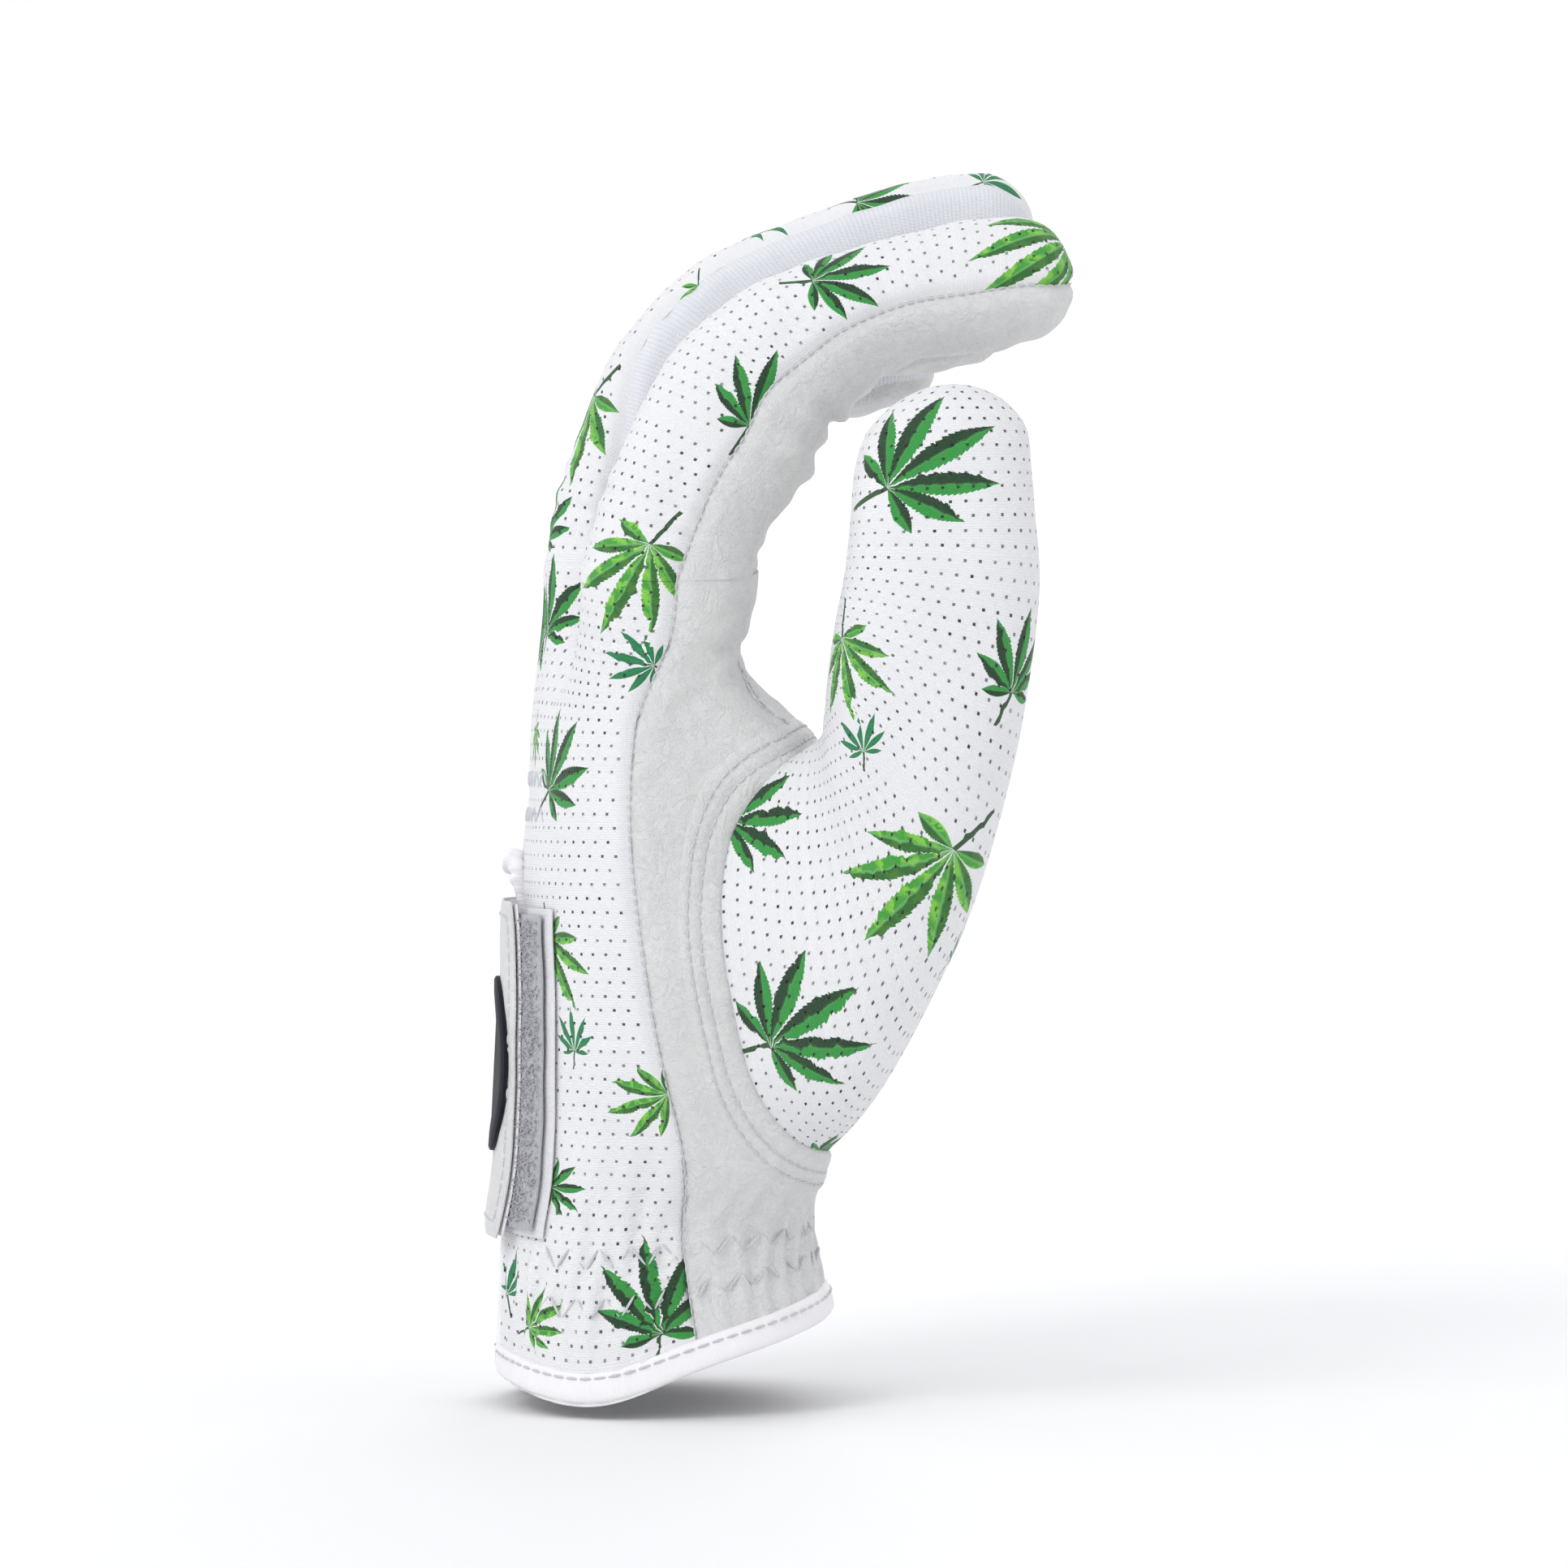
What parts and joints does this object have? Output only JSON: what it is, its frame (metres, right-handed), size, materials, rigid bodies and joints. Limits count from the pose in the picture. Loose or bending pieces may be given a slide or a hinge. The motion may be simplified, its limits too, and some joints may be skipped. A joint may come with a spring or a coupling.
{
  "type": "golf glove",
  "caption": "Left-hand golf glove standing filled out as if worn, with a bent-finger pose, perforated mesh back, leather palm, knit finger sides and a closing tab at the wrist.",
  "frame": {"origin": "centre of the wrist opening, on the nominal hem plane", "axes": "+Z from the wrist opening to the fingertips, +X towards the palm, -Y towards the thumb"},
  "size_m": [0.0962, 0.1126, 0.2047],
  "materials": {
    "mesh_knit": "perforated stretch knit with a green leaf print",
    "leather": "thin soft leather, satin",
    "fine_knit": "fine ribbed stretch knit",
    "binding": "satin edge binding",
    "elastic": "woven elastic",
    "hook_tape": "nylon hook tape",
    "loop_tape": "brushed loop tape",
    "badge_rubber": "matt moulded rubber"
  },
  "bodies": {
    "root": {"back_mesh": "mesh_knit", "palm_leather": "leather", "hem_binding": "binding", "vent_binding": "binding", "loop_patch": "loop_tape", "wrist_elastic": "elastic", "back_elastic": "elastic", "thumb_back_lower": "mesh_knit", "thumb_front_lower": "leather", "thumb_knuckle_gusset": "mesh_knit", "index_knuckle_gusset": "mesh_knit", "middle_knuckle_gusset": "mesh_knit", "ring_knuckle_gusset": "mesh_knit", "little_knuckle_gusset": "mesh_knit"},
    "tab": {"tab_leather": "leather", "hook_pad": "hook_tape", "badge": "badge_rubber"},
    "thumb": {"thumb_back_upper": "mesh_knit", "thumb_front_upper": "leather"},
    "index_lower": {"index_back_lower": "mesh_knit", "index_front_lower": "leather", "index_side_lower": "fine_knit", "index_middle_gusset": "mesh_knit"},
    "index_upper": {"index_back_upper": "mesh_knit", "index_front_upper": "leather", "index_side_upper": "fine_knit"},
    "middle_lower": {"middle_back_lower": "mesh_knit", "middle_front_lower": "leather", "middle_outer_side_lower": "fine_knit", "middle_thumb_side_lower": "fine_knit", "middle_middle_gusset": "mesh_knit"},
    "middle_upper": {"middle_back_upper": "mesh_knit", "middle_front_upper": "leather", "middle_outer_side_upper": "fine_knit", "middle_thumb_side_upper": "fine_knit"},
    "ring_lower": {"ring_back_lower": "mesh_knit", "ring_front_lower": "leather", "ring_outer_side_lower": "fine_knit", "ring_thumb_side_lower": "fine_knit", "ring_middle_gusset": "mesh_knit"},
    "ring_upper": {"ring_back_upper": "mesh_knit", "ring_front_upper": "leather", "ring_outer_side_upper": "fine_knit", "ring_thumb_side_upper": "fine_knit"},
    "little_lower": {"little_back_lower": "mesh_knit", "little_front_lower": "leather", "little_side_lower": "fine_knit", "little_middle_gusset": "mesh_knit"},
    "little_upper": {"little_back_upper": "mesh_knit", "little_front_upper": "leather", "little_side_upper": "fine_knit"}
  },
  "joints": [
    {"name": "index_knuckle", "type": "hinge", "parent": "root", "child": "index_lower", "pos_m": [0.0135, -0.033, 0.13319], "axis": [0, 1, 0], "range_deg": [-12, 40], "deforming": ["index_knuckle_gusset"]},
    {"name": "index_middle_joint", "type": "hinge", "parent": "index_lower", "child": "index_upper", "pos_m": [0.0257, -0.033, 0.15779], "axis": [0, 1, 0], "range_deg": [-30, 40], "deforming": ["index_middle_gusset"]},
    {"name": "middle_knuckle", "type": "hinge", "parent": "root", "child": "middle_lower", "pos_m": [0.0095, -0.011, 0.13569], "axis": [0, 1, 0], "range_deg": [-12, 40], "deforming": ["middle_knuckle_gusset"]},
    {"name": "middle_middle_joint", "type": "hinge", "parent": "middle_lower", "child": "middle_upper", "pos_m": [0.02027, -0.011, 0.16184], "axis": [0, 1, 0], "range_deg": [-30, 40], "deforming": ["middle_middle_gusset"]},
    {"name": "ring_knuckle", "type": "hinge", "parent": "root", "child": "ring_lower", "pos_m": [0.007, 0.0106, 0.13571], "axis": [0, 1, 0], "range_deg": [-12, 40], "deforming": ["ring_knuckle_gusset"]},
    {"name": "ring_middle_joint", "type": "hinge", "parent": "ring_lower", "child": "ring_upper", "pos_m": [0.02033, 0.0106, 0.15845], "axis": [0, 1, 0], "range_deg": [-30, 40], "deforming": ["ring_middle_gusset"]},
    {"name": "little_knuckle", "type": "hinge", "parent": "root", "child": "little_lower", "pos_m": [0.009, 0.0306, 0.13358], "axis": [0, 1, 0], "range_deg": [-12, 40], "deforming": ["little_knuckle_gusset"]},
    {"name": "little_middle_joint", "type": "hinge", "parent": "little_lower", "child": "little_upper", "pos_m": [0.01807, 0.0306, 0.15359], "axis": [0, 1, 0], "range_deg": [-30, 40], "deforming": ["little_middle_gusset"]},
    {"name": "thumb_joint", "type": "hinge", "parent": "root", "child": "thumb", "pos_m": [0.03917, -0.03647, 0.09625], "axis": [0.6324, 0, -0.7746], "range_deg": [-13, 14], "deforming": ["thumb_knuckle_gusset"]},
    {"name": "tab_hinge", "type": "hinge", "parent": "root", "child": "tab", "pos_m": [-0.02393, 0.0255, 0.05], "axis": [0, 0, -1], "range_deg": [0, 115]}
  ]
}
